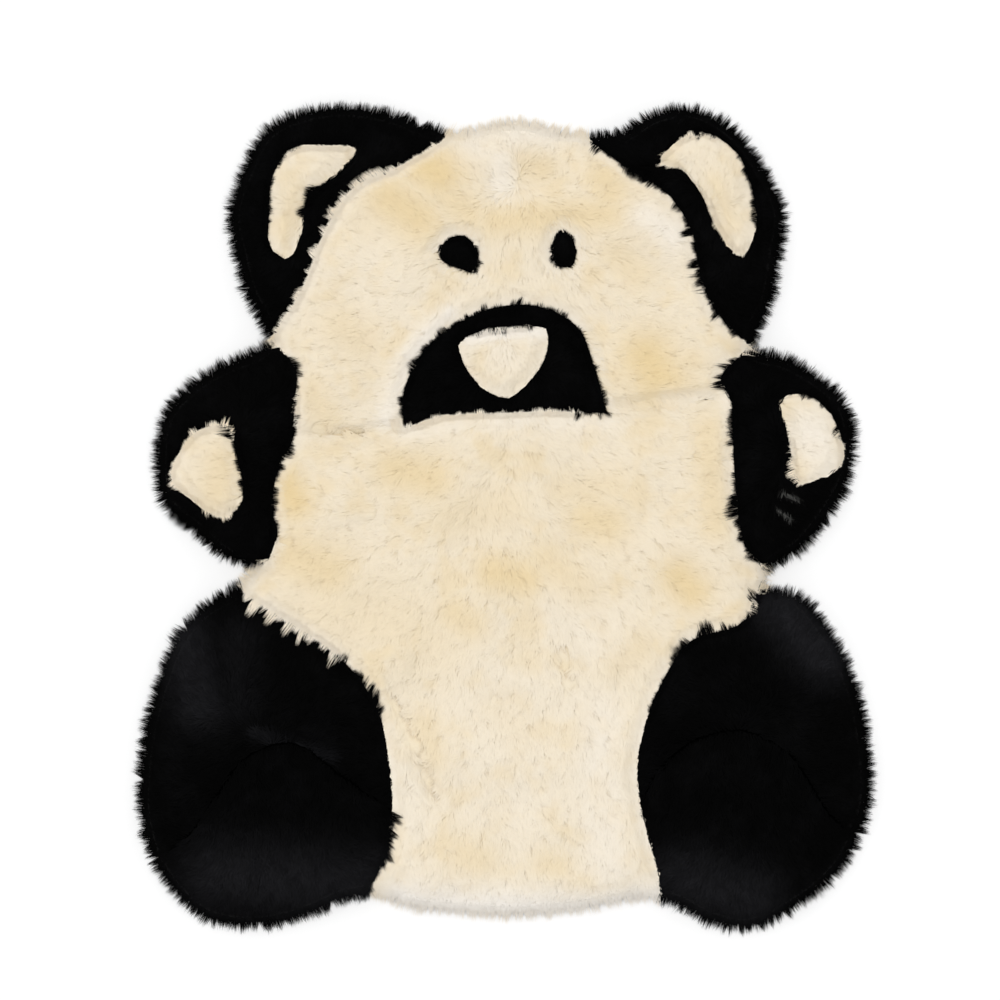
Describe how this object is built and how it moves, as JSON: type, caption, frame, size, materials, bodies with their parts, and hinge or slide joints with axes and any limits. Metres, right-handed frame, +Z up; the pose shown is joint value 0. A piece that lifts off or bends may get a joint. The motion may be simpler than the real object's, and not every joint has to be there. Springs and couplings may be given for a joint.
{
  "type": "bear shaped kids rug",
  "caption": "Bear shaped kids rug pieced from cream and black panels of long-wool sheepskin, lying flat with the wool up.",
  "frame": {"origin": "on the floor under the middle of the rug's outline", "axes": "+Z up out of the wool, +Y from the hem to the crown of the head, +X to the right seen from above"},
  "size_m": [0.7976, 0.8996, 0.0434],
  "materials": {
    "cream_wool": "long combed sheep's wool, cream with ochre patches",
    "black_wool": "long combed sheep's wool, dyed black",
    "hide": "tanned suede, the back of the skin"
  },
  "bodies": {
    "root": {"head": "cream_wool", "body": "cream_wool", "muzzle": "black_wool", "nose": "cream_wool", "eye_left": "black_wool", "eye_right": "black_wool", "ear_left": "black_wool", "ear_left_inner": "cream_wool", "ear_right": "black_wool", "ear_right_inner": "cream_wool", "arm_left": "black_wool", "arm_left_pad": "cream_wool", "arm_right": "black_wool", "arm_right_pad": "cream_wool", "leg_left": "black_wool", "leg_left_sole": "black_wool", "leg_right": "black_wool", "leg_right_sole": "black_wool"}
  },
  "joints": []
}
